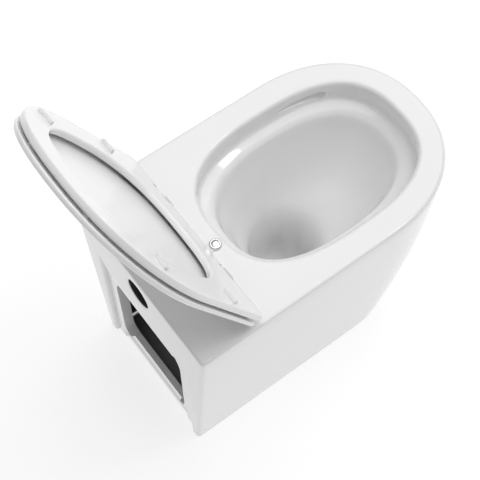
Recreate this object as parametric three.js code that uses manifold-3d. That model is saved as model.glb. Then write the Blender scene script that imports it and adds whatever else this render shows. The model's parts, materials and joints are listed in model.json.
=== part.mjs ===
// Floor-standing back-to-wall toilet pan with a hinged seat ring and lid.
// Millimetres, +Z up. The pan's front points to -Y and its rear face to +Y.
// The seat and the lid are modelled closed and then turned open on their hinge.

import * as THREE from "three";
import { mergeVertices } from "three/addons/utils/BufferGeometryUtils.js";
import Module from "manifold-3d";

const wasm = await Module();
wasm.setup();

// Driving dimensions of the pan.
const panWidth = 360;
const panLength = 585;
const panHeight = 430;
const floorHalfWidth = 146;
const floorLength = 515;
const wall = 12;
const deckThickness = 16;
const rearWall = 26;
const sideEdgeRadius = 6;
const frontEdgeRadius = 9;

// The mouth of the bowl, at the top face.
const mouthHalfWidth = 132;
const mouthRear = 155;
const mouthFront = 536;
const mouthExponent = 2.65;

// The rear face: service opening, recess, crossbar and flush inlet.
const openingHalfWidth = 96;
const openingLow = 40;
const openingHigh = 280;
const recessDepth = 7;
const crossbarSetBack = 14;
const crossbarLift = 4;
const inletHeight = 380;
const inletRadius = 27.5;
const outletHeight = 180;
const outletRadius = 42;

// The seat, the lid and their hinge.
const hingeSetBack = 112;
const hingeRise = 15;
const openAngle = THREE.MathUtils.degToRad(116);
const seatHalfWidth = 179;
const seatReach = 442;
const seatUnder = -9;
const seatTop = 3;
const seatHoleHalfWidth = 130;
const seatHoleRear = 57;
const seatHoleFront = 392;
const lidThickness = 9;
const lidGap = 4.2;
const knuckleRadius = 6.5;
const postCentre = 80;
const postWidth = 22;
const pinRadius = 4;
const runningGap = 0.35;
const seatBumperHeight = 5;

// The release button beside the hinge bar.
const buttonX = -24;
const buttonSetBack = 138;
const buttonRadius = 6.2;
const bezelRadius = 10;
const buttonTravel = 1.5;

const white = { color: 0xf1f2f2, roughness: 0.18, metalness: 0 };
const plastic = { color: 0xf4f5f5, roughness: 0.3, metalness: 0 };
const rubber = { color: 0xdfe1e2, roughness: 0.7, metalness: 0 };
const chrome = { color: 0xd6d8da, roughness: 0.12, metalness: 1 };
const steel = { color: 0xb4b6b8, roughness: 0.35, metalness: 1 };
const darkRubber = { color: 0x2c2c2e, roughness: 0.8, metalness: 0 };

// ---------- solids ----------

function solidOf(geometry) {
  const bare = geometry.index ? geometry.toNonIndexed() : geometry.clone();
  bare.deleteAttribute("normal");
  bare.deleteAttribute("uv");
  const merged = mergeVertices(bare, 1e-4);
  return new wasm.Manifold(new wasm.Mesh({
    numProp: 3,
    vertProperties: new Float32Array(merged.attributes.position.array),
    triVerts: new Uint32Array(merged.index.array),
  }));
}

function geometryOf(solid) {
  const mesh = solid.getMesh();
  const geometry = new THREE.BufferGeometry();
  geometry.setAttribute("position", new THREE.BufferAttribute(mesh.vertProperties, 3));
  geometry.setIndex(new THREE.BufferAttribute(mesh.triVerts, 1));
  return geometry;
}

// A closed solid through rings of equal point count, capped at both ends.
// Each ring runs anticlockwise when seen from the end of the stack.
function loft(rings) {
  const count = rings[0].length;
  const points = rings.flat();
  const faces = [];
  for (let row = 0; row < rings.length - 1; row += 1) {
    for (let i = 0; i < count; i += 1) {
      const a = row * count + i;
      const b = row * count + ((i + 1) % count);
      faces.push(a, b, b + count, a, b + count, a + count);
    }
  }
  const middle = (ring) => ring.reduce((sum, p) => sum.add(p), new THREE.Vector3())
    .divideScalar(count);
  const start = points.length;
  const last = (rings.length - 1) * count;
  points.push(middle(rings[0]), middle(rings[rings.length - 1]));
  for (let i = 0; i < count; i += 1) {
    const next = (i + 1) % count;
    faces.push(start, next, i, start + 1, last + i, last + next);
  }
  const geometry = new THREE.BufferGeometry().setFromPoints(points);
  geometry.setIndex(faces);
  return solidOf(geometry);
}

function box(x0, x1, y0, y1, z0, z1) {
  const geometry = new THREE.BoxGeometry(x1 - x0, y1 - y0, z1 - z0);
  geometry.translate((x0 + x1) / 2, (y0 + y1) / 2, (z0 + z1) / 2);
  return solidOf(geometry);
}

// A turned solid about +Z from a list of [radius, height] points.
function turned(profile, segments = 24) {
  const points = profile.map(([radius, height]) => new THREE.Vector2(radius, height));
  const geometry = new THREE.LatheGeometry(points, segments);
  geometry.rotateX(Math.PI / 2);
  return solidOf(geometry);
}

function upright(radius, z0, z1, x, y, segments = 24) {
  return turned([[0, z0], [radius, z0], [radius, z1], [0, z1]], segments).translate([x, y, 0]);
}

// A round bar along X.
function crossways(radius, x0, x1, y, z, segments = 24) {
  const geometry = new THREE.CylinderGeometry(radius, radius, x1 - x0, segments);
  geometry.rotateZ(Math.PI / 2);
  geometry.translate((x0 + x1) / 2, y, z);
  return solidOf(geometry);
}

// An outline in X and Z, given as a shape, carried along Y from y0 to y1.
function pushedAlongY(shape, y0, y1) {
  const geometry = new THREE.ExtrudeGeometry(shape, {
    depth: y1 - y0,
    bevelEnabled: false,
    curveSegments: 10,
  });
  geometry.rotateX(Math.PI / 2);
  geometry.translate(0, y1, 0);
  return solidOf(geometry);
}

// ---------- outlines ----------

const signedPower = (value, power) => Math.sign(value) * Math.abs(value) ** power;

// A closed rounded outline about (0, centreY), anticlockwise seen from +Z.
function superellipse(halfWidth, halfLength, centreY, exponent, z, count = 48) {
  return Array.from({ length: count }, (unused, i) => {
    const angle = (i / count) * 2 * Math.PI;
    return new THREE.Vector3(
      halfWidth * signedPower(Math.cos(angle), 2 / exponent),
      centreY + halfLength * signedPower(Math.sin(angle), 2 / exponent),
      z,
    );
  });
}

// A D-shaped outline: square at the rear, straight sides and a rounded front.
function dOutline({ halfWidth, rear, front, run, exponent, corner }, z, curve = 36) {
  const points = [];
  const rearY = -rear;
  for (let i = 0; i <= 4; i += 1) {
    const angle = (i / 4) * (Math.PI / 2);
    points.push([halfWidth - corner + corner * Math.cos(angle),
      rearY - corner + corner * Math.sin(angle)]);
  }
  const mirrored = points.map(([x, y]) => [-x, y]).reverse();
  const nose = Array.from({ length: curve + 1 }, (unused, i) => {
    const angle = Math.PI + (i / curve) * Math.PI;
    return [halfWidth * signedPower(Math.cos(angle), 2 / exponent),
      -(front - run) + run * signedPower(Math.sin(angle), 2 / exponent)];
  });
  return [...points, ...mirrored, ...nose].map(([x, y]) => new THREE.Vector3(x, y, z));
}

// The same outline moved inwards, by a distance that may change from point to point.
function inset(ring, distance) {
  const count = ring.length;
  return ring.map((point, i) => {
    const along = new THREE.Vector3()
      .subVectors(ring[(i + 1) % count], ring[(i + count - 1) % count])
      .setZ(0)
      .normalize();
    const amount = typeof distance === "function" ? distance(point) : distance;
    return new THREE.Vector3(point.x - along.y * amount, point.y + along.x * amount, point.z);
  });
}

// ---------- pan ----------

// The skirt's outline at a height: full size at the top, drawn in towards the floor.
function skirtOutline(z, rear = 0) {
  const drop = 1 - z / panHeight;
  const pulledIn = Math.max(drop, 0) ** 2.3;
  return dOutline({
    halfWidth: panWidth / 2 - (panWidth / 2 - floorHalfWidth) * drop,
    rear,
    front: panLength - (panLength - floorLength) * pulledIn,
    run: 206 - 60 * drop,
    exponent: 2.2 + 0.2 * drop,
    corner: 7,
  }, z);
}

// The top edge is crisp along the sides and soft round the front.
function edgeRadius(point) {
  const towardsFront = THREE.MathUtils.smoothstep(-point.y, 300, 540);
  return THREE.MathUtils.lerp(sideEdgeRadius, frontEdgeRadius, towardsFront);
}

function skirtSolid() {
  const rings = [0, 0.25, 0.5, 0.7, 0.88].map((part) => (
    skirtOutline(part * (panHeight - frontEdgeRadius))
  ));
  const top = skirtOutline(panHeight);
  for (const degrees of [0, 30, 60, 90]) {
    const turn = THREE.MathUtils.degToRad(degrees);
    const ring = inset(top, (point) => edgeRadius(point) * (1 - Math.cos(turn)));
    rings.push(ring.map((point, i) => (
      point.setZ(panHeight - edgeRadius(top[i]) * (1 - Math.sin(turn)))
    )));
  }
  return loft(rings);
}

function skirtHollow() {
  const rings = [-1, 110, 220, 330, panHeight - deckThickness].map((z) => {
    const outline = skirtOutline(z, rearWall - wall);
    return inset(outline, wall);
  });
  return loft(rings);
}

// Each level of the bowl: height, half width, rear and front distance, exponent.
const bowlLevels = [
  { z: 374, halfWidth: 108, rear: 179, front: 512, exponent: 2.5 },
  { z: 340, halfWidth: 101, rear: 188, front: 498, exponent: 2.4 },
  { z: 300, halfWidth: 91, rear: 202, front: 474, exponent: 2.3 },
  { z: 265, halfWidth: 82, rear: 215, front: 444, exponent: 2.2 },
  { z: 235, halfWidth: 72, rear: 229, front: 406, exponent: 2.1 },
  { z: 210, halfWidth: 64, rear: 237, front: 378, exponent: 2 },
  { z: 170, halfWidth: 57, rear: 242, front: 360, exponent: 2 },
  { z: 110, halfWidth: 50, rear: 248, front: 350, exponent: 2 },
  { z: 84, halfWidth: 39, rear: 260, front: 337, exponent: 2 },
  { z: 74, halfWidth: 18, rear: 280, front: 316, exponent: 2 },
];

function bowlRing({ z, halfWidth, rear, front, exponent }, grow = 0) {
  return superellipse(halfWidth + grow, (front - rear) / 2 + grow, -(front + rear) / 2,
    exponent, z);
}

function mouthRing(z, grow) {
  return bowlRing({
    z, halfWidth: mouthHalfWidth, rear: mouthRear, front: mouthFront, exponent: mouthExponent,
  }, grow);
}

// The inside of the bowl: a rimless wall, a sloping shelf, the basin and the sump.
function bowlInside() {
  const lip = [[1, 6.5], [0, 5.5], [-2, 2.5], [-6, 0], [-36, 0.5], [-44, -3]];
  const rings = lip.map(([above, grow]) => mouthRing(panHeight + above, grow));
  rings.push(...bowlLevels.map((level) => bowlRing(level)));
  return loft(rings.reverse());
}

function bowlOutside() {
  const rings = [mouthRing(panHeight - 4, wall), mouthRing(panHeight - 58, wall)];
  rings.push(...bowlLevels.slice(1, -2).map((level) => bowlRing(level, wall - 1)));
  const { z, ...foot } = bowlLevels[bowlLevels.length - 2];
  rings.push(bowlRing({ z: z - 20, ...foot }, wall - 6));
  return loft(rings.reverse());
}

// The trap: out of the sump, up over the weir and down to the outlet at the rear.
const trapMouthRadius = 33;
const trapRoute = new THREE.CatmullRomCurve3([
  [-297, 110], [-254, 110], [-216, 148], [-188, 203], [-150, 234], [-110, 214],
  [-80, outletHeight + 6], [-46, outletHeight],
].map(([y, z]) => new THREE.Vector3(0, y, z)), false, "centripetal");

function trapSolid(grow, overrun) {
  const count = 16;
  const steps = 12;
  const rings = [];
  for (let i = 0; i <= steps; i += 1) {
    const centre = trapRoute.getPointAt(i / steps);
    const ahead = trapRoute.getTangentAt(i / steps);
    const up = new THREE.Vector3(0, -ahead.z, ahead.y);
    if (i === steps) {
      // The outlet ends in an upright flat face.
      centre.y += overrun;
      up.set(0, 0, 1);
    }
    const radius = THREE.MathUtils.lerp(trapMouthRadius, outletRadius, i / steps) + grow;
    rings.push(Array.from({ length: count }, (unused, k) => {
      const angle = (k / count) * 2 * Math.PI;
      return centre.clone()
        .addScaledVector(new THREE.Vector3(-1, 0, 0), Math.cos(angle) * radius)
        .addScaledVector(up, Math.sin(angle) * radius);
    }));
  }
  return loft(rings);
}

// The flush channel runs round the back and sides of the bowl, inside the casting.
const channelHeight = 398;

function flushChannel(radius) {
  const points = [];
  const steps = 16;
  for (let i = 0; i <= steps; i += 1) {
    const angle = THREE.MathUtils.degToRad(-28 + (236 * i) / steps);
    points.push(new THREE.Vector3(
      154 * signedPower(Math.cos(angle), 2 / mouthExponent),
      -345.5 + 213 * signedPower(Math.sin(angle), 2 / mouthExponent),
      channelHeight,
    ));
  }
  const section = new THREE.Shape();
  section.absarc(0, 0, radius, 0, 2 * Math.PI);
  const geometry = new THREE.ExtrudeGeometry(section, {
    steps: 20,
    curveSegments: 4,
    bevelEnabled: false,
    extrudePath: new THREE.CatmullRomCurve3(points, false, "centripetal"),
  });
  return solidOf(geometry);
}

// The flush leaves the channel through a slot on each side of the bowl.
function flushSlot(side) {
  const inner = side * 112;
  const outer = side * 153;
  return box(Math.min(inner, outer), Math.max(inner, outer), -474, -428,
    channelHeight - 8, channelHeight + 8);
}

function openingShape() {
  const shape = new THREE.Shape();
  const high = 56;
  const low = 26;
  shape.moveTo(-openingHalfWidth + low, openingLow);
  shape.lineTo(openingHalfWidth - low, openingLow);
  shape.absarc(openingHalfWidth - low, openingLow + low, low, -Math.PI / 2, 0);
  shape.absarc(openingHalfWidth - high, openingHigh - high, high, 0, Math.PI / 2);
  shape.absarc(-openingHalfWidth + high, openingHigh - high, high, Math.PI / 2, Math.PI);
  shape.absarc(-openingHalfWidth + low, openingLow + low, low, Math.PI, 1.5 * Math.PI);
  return shape;
}

// Beside and under the opening the rear face is set back from the two legs.
function recessShape() {
  const shape = new THREE.Shape();
  shape.moveTo(-124, -1);
  shape.lineTo(124, -1);
  shape.lineTo(121, 320);
  shape.lineTo(82, 284);
  shape.lineTo(-82, 284);
  shape.lineTo(-121, 320);
  shape.closePath();
  return shape;
}

function pan() {
  const inletTube = (radius, y0, y1) => {
    const geometry = new THREE.CylinderGeometry(radius, radius, y1 - y0, 40);
    geometry.translate(0, (y0 + y1) / 2, inletHeight);
    return solidOf(geometry);
  };
  let body = skirtSolid().subtract(skirtHollow());
  const inner = bowlOutside()
    .add(trapSolid(9, 0))
    .add(flushChannel(17))
    .add(inletTube(inletRadius + 9, -146, -rearWall + 6))
    .intersect(skirtSolid());
  body = body.add(inner);
  body = body.subtract(bowlInside()).subtract(trapSolid(0, 6)).subtract(flushChannel(9.5));
  body = body.subtract(inletTube(inletRadius, -130, 5));
  body = body.subtract(flushSlot(-1)).subtract(flushSlot(1));
  body = body.subtract(pushedAlongY(recessShape(), -recessDepth, 1));
  body = body.subtract(pushedAlongY(openingShape(), -rearWall - 2, 1));
  body = body.subtract(box(-101, 101, -crossbarSetBack, 1, -1, openingLow + 1));
  body = body.subtract(box(-101, 101, -rearWall - 1, 1, -1, crossbarLift));
  for (const side of [-1, 1]) {
    body = body.subtract(upright(8, 400, panHeight + 1, side * postCentre, -hingeSetBack));
  }
  return body;
}

// ---------- seat and lid, closed, with the hinge axis at the origin ----------

function seatOutline(z, grow = 0) {
  return dOutline({
    halfWidth: seatHalfWidth + grow,
    rear: -grow,
    front: seatReach + grow,
    run: 230,
    exponent: 2.3,
    corner: 16,
  }, z);
}

// A flat plate with rounded edges, from its lowest to its highest level.
function plate(low, high, edge, grow) {
  const level = (z, back) => inset(seatOutline(z, grow), back);
  return loft([
    level(low, edge), level(low + edge * 0.3, edge * 0.3), level(low + edge, 0),
    level(high - edge, 0), level(high - edge * 0.3, edge * 0.3), level(high, edge),
  ]);
}

function pinBore(x0, x1) {
  return crossways(pinRadius + runningGap, x0, x1, 0, 0);
}

const postHalf = postWidth / 2;
const pocketInner = postCentre - postHalf - 2;
const pocketOuter = postCentre + postHalf + 20;
const pinInner = postCentre - postHalf - 18;
const pinOuter = postCentre + postHalf + 16;

function seatRing() {
  const holeLevel = (z, grow) => superellipse(seatHoleHalfWidth + grow,
    (seatHoleFront - seatHoleRear) / 2 + grow, -(seatHoleFront + seatHoleRear) / 2, 2.6, z);
  const hole = loft([
    holeLevel(seatUnder - 1, 4), holeLevel(seatUnder + 1, 2.4), holeLevel(seatUnder + 4, 0),
    holeLevel(seatTop - 4, 0), holeLevel(seatTop - 1, 2.4), holeLevel(seatTop + 1, 4),
  ]);
  let ring = plate(seatUnder, seatTop, 3.5, 0).subtract(hole);
  ring = ring.add(crossways(knuckleRadius, -seatHalfWidth + 18, seatHalfWidth - 18, 0, 0));
  for (const side of [-1, 1]) {
    const ends = [side * pocketInner, side * pocketOuter].sort((a, b) => a - b);
    ring = ring.subtract(box(ends[0], ends[1], -17, 12, -20, 20));
    const bore = [side * (pinInner - 1), side * (pinOuter + 8)].sort((a, b) => a - b);
    ring = ring.subtract(pinBore(bore[0], bore[1]));
  }
  return ring;
}

const lidLow = seatTop + lidGap;
const lidHigh = lidLow + lidThickness;

function lidSolid() {
  let lid = plate(lidLow, lidHigh, 3.5, 0.5);
  for (const side of [-1, 1]) {
    const x = [side * (postCentre + postHalf + 2), side * (pocketOuter - 2)]
      .sort((a, b) => a - b);
    const knuckle = crossways(knuckleRadius, x[0], x[1], 0, 0)
      .add(box(x[0], x[1], -knuckleRadius, 4, 0, lidLow + 3));
    lid = lid.add(knuckle);
    const bore = [side * (postCentre + postHalf), side * (pinOuter + 1)].sort((a, b) => a - b);
    lid = lid.subtract(pinBore(bore[0], bore[1]));
  }
  return lid;
}

// A bumper is a low block with rounded ends, standing up from z = 0.
function bumper(length, width, height) {
  const half = length / 2 - width / 2;
  const shape = new THREE.Shape();
  shape.absarc(half, 0, width / 2, -Math.PI / 2, Math.PI / 2);
  shape.absarc(-half, 0, width / 2, Math.PI / 2, 1.5 * Math.PI);
  const bevel = 1.2;
  const geometry = new THREE.ExtrudeGeometry(shape, {
    depth: height - bevel,
    bevelThickness: bevel,
    bevelSize: bevel,
    bevelOffset: -bevel,
    bevelSegments: 1,
    curveSegments: 5,
  });
  return solidOf(geometry)
    .subtract(box(-length, length, -width, width, -height, 0));
}

// ---------- hinge hardware, in the pan's frame ----------

const axisHeight = panHeight + hingeRise;
const gap = 0.3;
const barLow = panHeight + gap;
const barHigh = barLow + 4.7;
const axisY = -hingeSetBack;
const housingHigh = barLow + 1.5;

// The bar lies on the deck under both posts and carries the button's housing.
function hingeBar() {
  const shape = new THREE.Shape();
  const reach = 104;
  const round = 6;
  shape.absarc(reach, -5, round, -Math.PI / 2, 0);
  shape.absarc(reach, 5, round, 0, Math.PI / 2);
  shape.absarc(-reach, 5, round, Math.PI / 2, Math.PI);
  shape.absarc(-reach, -5, round, Math.PI, 1.5 * Math.PI);
  const geometry = new THREE.ExtrudeGeometry(shape, {
    depth: barHigh - barLow,
    bevelEnabled: false,
    curveSegments: 6,
  });
  geometry.translate(0, axisY - 1, barLow);
  let bar = solidOf(geometry)
    .subtract(upright(bezelRadius + 0.6, housingHigh, barHigh + 1, buttonX, -buttonSetBack))
    .add(upright(bezelRadius + 1, barLow, housingHigh, buttonX, -buttonSetBack, 32))
    .add(box(buttonX - 8, buttonX + 8, -buttonSetBack, axisY - 8, barLow, housingHigh))
    .subtract(upright(buttonRadius + 0.6, barLow + 0.6, barHigh + 1, buttonX, -buttonSetBack));
  for (const side of [-1, 1]) {
    bar = bar.subtract(upright(4.6, panHeight, barHigh + 1, side * postCentre, axisY));
  }
  return bar;
}

// A post stands on the bar and holds the hinge pin in its round head.
function hingePost(side) {
  const low = barHigh + gap;
  const shape = new THREE.Shape();
  shape.moveTo(-12, low);
  shape.lineTo(knuckleRadius, low);
  shape.absarc(0, axisHeight, knuckleRadius, 0, Math.PI);
  shape.lineTo(-12, low + 4);
  shape.closePath();
  const geometry = new THREE.ExtrudeGeometry(shape, {
    depth: postWidth,
    bevelEnabled: false,
    curveSegments: 12,
  });
  geometry.rotateX(Math.PI / 2);
  geometry.rotateZ(Math.PI / 2);
  geometry.translate(side * postCentre - postHalf, axisY, 0);
  return solidOf(geometry)
    .subtract(crossways(pinRadius + gap, -200, 200, axisY, axisHeight))
    .subtract(upright(4.6, low - 1, low + 3, side * postCentre, axisY));
}

function hingePin(side) {
  const x = [side * pinInner, side * pinOuter].sort((a, b) => a - b);
  return crossways(pinRadius, x[0], x[1], axisY, axisHeight);
}

function fixingBolt(side) {
  return upright(4, 366, barHigh + gap + 2.7, side * postCentre, axisY, 16);
}

// A rubber sleeve that swells under the deck when the bolt is drawn up.
function fixingSleeve(side) {
  return turned([[4.4, 392], [7.4, 392], [9.6, 402], [9.6, 410], [7.6, 413.6],
    [7.6, 429.6], [4.4, 429.6], [4.4, 392]], 16)
    .translate([side * postCentre, axisY, 0]);
}

function fixingNut(side) {
  return turned([[4.4, 372], [9, 372], [9, 380], [6.8, 391.6], [4.4, 391.6], [4.4, 372]], 16)
    .translate([side * postCentre, axisY, 0]);
}

const bezelLow = housingHigh + gap;
const bezelHeight = 2.5;

function buttonBezel() {
  const inner = buttonRadius + 0.6;
  const high = bezelLow + bezelHeight;
  return turned([[inner, bezelLow], [bezelRadius, bezelLow], [bezelRadius, high - 1.2],
    [bezelRadius - 1.6, high], [inner, high], [inner, bezelLow]], 32)
    .translate([buttonX, -buttonSetBack, 0]);
}

function releaseButton() {
  const low = barLow + 0.6 + buttonTravel + 1;
  const high = bezelLow + bezelHeight;
  return turned([[0, low], [buttonRadius, low], [buttonRadius, high - 0.4],
    [buttonRadius - 2, high + 0.2], [0, high + 0.7]], 28)
    .translate([buttonX, -buttonSetBack, 0]);
}

// ---------- assembly ----------

const part = new THREE.Group();

function place(parent, name, solid, look) {
  const material = new THREE.MeshStandardMaterial(look);
  const mesh = new THREE.Mesh(geometryOf(solid), material);
  mesh.name = name;
  parent.add(mesh);
  return mesh;
}

place(part, "pan_body", pan(), white);
place(part, "hinge_bar", hingeBar(), plastic);
place(part, "button_bezel", buttonBezel(), chrome);
place(part, "release_button", releaseButton(), chrome);

const sides = [["left", -1], ["right", 1]];

for (const [label, side] of sides) {
  place(part, `hinge_post_${label}`, hingePost(side), chrome);
  place(part, `hinge_pin_${label}`, hingePin(side), steel);
  place(part, `fixing_bolt_${label}`, fixingBolt(side), steel);
  place(part, `fixing_sleeve_${label}`, fixingSleeve(side), darkRubber);
  place(part, `fixing_nut_${label}`, fixingNut(side), steel);
}

function hingedGroup() {
  const group = new THREE.Group();
  group.position.set(0, axisY, axisHeight);
  group.rotation.x = -openAngle;
  part.add(group);
  return group;
}

const seatGroup = hingedGroup();
place(seatGroup, "seat_ring", seatRing(), plastic);

const seatBumpers = [["front", 138, 328, -18], ["rear", 158, 120, 0]];
for (const [row, across, reach, turn] of seatBumpers) {
  for (const [label, side] of sides) {
    const pad = bumper(28, 7, seatBumperHeight).rotate([180, 0, side * turn]);
    const mesh = place(seatGroup, `seat_bumper_${row}_${label}`, pad, rubber);
    mesh.position.set(side * across, -reach, seatUnder - gap);
  }
}

const lidGroup = hingedGroup();
place(lidGroup, "lid", lidSolid(), plastic);

for (const [label, side] of sides) {
  const pad = bumper(16, 8, lidGap - 2 * gap).rotate([180, 0, 0]);
  const mesh = place(lidGroup, `lid_bumper_${label}`, pad, rubber);
  mesh.position.set(side * 60, -417, lidLow - gap);
}

// The origin is on the floor, under the middle of the part with its lid raised.
const extent = new THREE.Box3().setFromObject(part);
part.position.y = -(extent.min.y + extent.max.y) / 2;

export default part;
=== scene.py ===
import json
import math

import bmesh
import bpy
import numpy as np
from mathutils import Matrix, Vector


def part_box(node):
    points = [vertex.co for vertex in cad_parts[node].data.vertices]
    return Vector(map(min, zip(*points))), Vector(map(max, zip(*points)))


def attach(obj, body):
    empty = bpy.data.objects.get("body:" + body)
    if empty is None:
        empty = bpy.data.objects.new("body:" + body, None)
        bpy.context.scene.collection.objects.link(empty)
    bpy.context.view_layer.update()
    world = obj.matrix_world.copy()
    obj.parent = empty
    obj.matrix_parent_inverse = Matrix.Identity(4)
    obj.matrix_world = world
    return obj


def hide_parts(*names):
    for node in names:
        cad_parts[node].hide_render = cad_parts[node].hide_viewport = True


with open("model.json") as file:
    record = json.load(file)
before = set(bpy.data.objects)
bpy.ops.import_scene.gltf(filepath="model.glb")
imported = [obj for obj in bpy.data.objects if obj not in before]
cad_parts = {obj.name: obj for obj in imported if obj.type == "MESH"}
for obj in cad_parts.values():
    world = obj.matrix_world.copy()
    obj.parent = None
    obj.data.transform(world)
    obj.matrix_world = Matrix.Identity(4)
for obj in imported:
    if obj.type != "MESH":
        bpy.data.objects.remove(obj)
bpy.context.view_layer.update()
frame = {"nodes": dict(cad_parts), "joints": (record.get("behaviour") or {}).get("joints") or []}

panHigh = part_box("pan_body")[1]
rearY = panHigh.y  # the rear face, which stands against the wall
topZ = panHigh.z   # the flat deck and rim
hinge = next(j for j in frame["joints"] if j["name"] == "seat_hinge")
axisY, axisZ = hinge["pos_m"][1], hinge["pos_m"][2]
openAngle = math.radians(hinge["range_deg"][1])
aroundCount = 256  # points round every outline


def meshFrom(name, vertices, faces):
    mesh = bpy.data.meshes.new(name)
    mesh.from_pydata([tuple(v) for v in vertices], [], [tuple(f) for f in faces])
    mesh.validate()
    piece = bpy.data.objects.new(name, mesh)
    bpy.context.scene.collection.objects.link(piece)
    return piece


def facedOut(piece):
    # Points that meet are joined, and every face is turned to look out.
    facing = bmesh.new()
    facing.from_mesh(piece.data)
    bmesh.ops.remove_doubles(facing, verts=facing.verts, dist=1e-7)
    bmesh.ops.recalc_face_normals(facing, faces=facing.faces)
    facing.to_mesh(piece.data)
    facing.free()
    return piece


def gridPiece(name, rings, ringClosed=False, shadedBareFrom=None):
    # Rings of equal count become a skin: capped at both ends, or joined end to end.
    # Faces from the given starting row on are marked as bare clay, coloured near black as
    # painted shade.
    count, rows = len(rings[0]), len(rings)
    vertices = np.concatenate(rings)
    faces = []
    for row in range(rows if ringClosed else rows - 1):
        start, after = row * count, ((row + 1) % rows) * count
        for i in range(count):
            j = (i + 1) % count
            faces.append((start + i, start + j, after + j, after + i))
    if not ringClosed:
        poles = len(vertices)
        vertices = np.vstack([vertices, rings[0].mean(0), rings[-1].mean(0)])
        last = (rows - 1) * count
        for i in range(count):
            j = (i + 1) % count
            faces.append((poles, j, i))
            faces.append((poles + 1, last + i, last + j))
    piece = meshFrom(name, vertices, faces)
    if shadedBareFrom is not None:
        mask = piece.data.attributes.new("shadedBareClay", "FLOAT", "FACE")
        mask.data.foreach_set("value", [float(k >= shadedBareFrom * count)
                                        for k in range(len(piece.data.polygons))])
    return facedOut(piece)


def settled(piece):
    # The evaluated shape becomes a plain mesh and the modifiers go.
    graph = bpy.context.evaluated_depsgraph_get()
    graph.update()
    mesh = bpy.data.meshes.new_from_object(piece.evaluated_get(graph))
    piece.modifiers.clear()
    old = piece.data
    piece.data = mesh
    if old.users == 0:
        bpy.data.meshes.remove(old)
    return piece


def joinOrCut(piece, tools, operation):
    # The tools are used up one after another.
    for tool in tools:
        step = piece.modifiers.new("cut", "BOOLEAN")
        step.operation = operation
        step.solver = "MANIFOLD"
        step.object = tool
        settled(piece)
        bpy.data.objects.remove(tool)
    return piece


def smoothed(piece, sharpDegrees=35):
    piece.data.polygons.foreach_set("use_smooth", [True] * len(piece.data.polygons))
    piece.data.set_sharp_from_angle(angle=math.radians(sharpDegrees))
    return piece


def refined(node, width, segments=3, sharpDegrees=50):
    # A CAD node's own shape, merged and with its edges rounded.
    mesh = frame["nodes"][node].data.copy()
    piece = bpy.data.objects.new(node + "_finished", mesh)
    bpy.context.scene.collection.objects.link(piece)
    merged = bmesh.new()
    merged.from_mesh(mesh)
    bmesh.ops.remove_doubles(merged, verts=merged.verts, dist=2e-6)
    bmesh.ops.dissolve_limit(merged, angle_limit=math.radians(1), verts=merged.verts,
                             edges=merged.edges)
    merged.to_mesh(mesh)
    merged.free()
    mesh.materials.clear()
    edge = piece.modifiers.new("edge", "BEVEL")
    edge.width = width
    edge.segments = segments
    edge.limit_method = "ANGLE"
    edge.angle_limit = math.radians(35)
    edge.harden_normals = False
    settled(piece)
    smoothed(piece, sharpDegrees)
    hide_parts(node)
    return piece


def finish(piece, body, material):
    piece.data.materials.clear()
    piece.data.materials.append(material)
    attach(piece, body)
    return piece


def power(values, exponent):
    # A power that keeps the sign, for outlines between an ellipse and a rectangle.
    return np.sign(values) * np.abs(values) ** exponent


turns = np.linspace(0, 2 * math.pi, aroundCount, endpoint=False)


def roundOutline(halfWidth, rear, front, exponent, z):
    # The bowl's outlines, with distances measured forward from the rear face.
    centre, half = -(rear + front) / 2, (front - rear) / 2
    x = halfWidth * power(np.cos(turns), 2 / exponent)
    y = rearY + centre + half * power(np.sin(turns), 2 / exponent)
    return np.stack([x, y, np.full_like(x, z)], 1)


def squareBackOutline(halfWidth, rear, front, run, exponent, corner, z, base=None):
    # Square at the rear, straight at the sides and rounded at the front.
    base = rearY if base is None else base
    cornerTurn, cornerSpan = 0.34 * math.pi, 0.035 * math.pi  # the points that round a corner
    fold = np.where(turns <= math.pi / 2, turns, math.pi - turns)
    side = np.where(turns <= math.pi / 2, 1.0, -1.0)
    arc = np.clip((fold - cornerTurn + cornerSpan) / (2 * cornerSpan), 0, 1) * math.pi / 2
    straight = front - run - rear - corner
    up = np.clip(fold / (cornerTurn - cornerSpan), 0, 1)
    across = np.clip((fold - cornerTurn - cornerSpan)
                     / (math.pi / 2 - cornerTurn - cornerSpan), 0, 1)
    x = (halfWidth - corner) * (1 - across) + corner * np.cos(arc)
    y = -rear - corner + corner * np.sin(arc) - (1 - up) * straight
    noseX = halfWidth * power(np.cos(turns), 2 / exponent)
    noseY = -(front - run) + run * power(np.sin(turns), 2 / exponent)
    isNose = turns > math.pi
    x, y = np.where(isNose, noseX, side * x), np.where(isNose, noseY, y)
    return np.stack([x, base + y, np.full_like(x, z)], 1)


def inset(ring, amount):
    # The outline moved in by an even amount.
    along = np.roll(ring, -1, 0)[:, :2] - np.roll(ring, 1, 0)[:, :2]
    along /= np.maximum(np.linalg.norm(along, axis=1), 1e-9)[:, None]
    moved = ring.copy()
    moved[:, 0] -= along[:, 1] * amount
    moved[:, 1] += along[:, 0] * amount
    return moved


def throughLevels(levels, steps):
    # Catmull-Rom rows through a list of levels.
    points = np.array(levels, float)
    padded = np.vstack([2 * points[0] - points[1], points, 2 * points[-1] - points[-2]])
    rows = []
    for i in range(len(points) - 1):
        a, b, c, d = padded[i:i + 4]
        for t in np.arange(steps) / steps:
            rows.append(0.5 * (2 * b + (c - a) * t + (2 * a - 5 * b + 4 * c - d) * t ** 2
                               + (3 * b - a - 3 * c + d) * t ** 3))
    rows.append(points[-1])
    return rows


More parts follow.
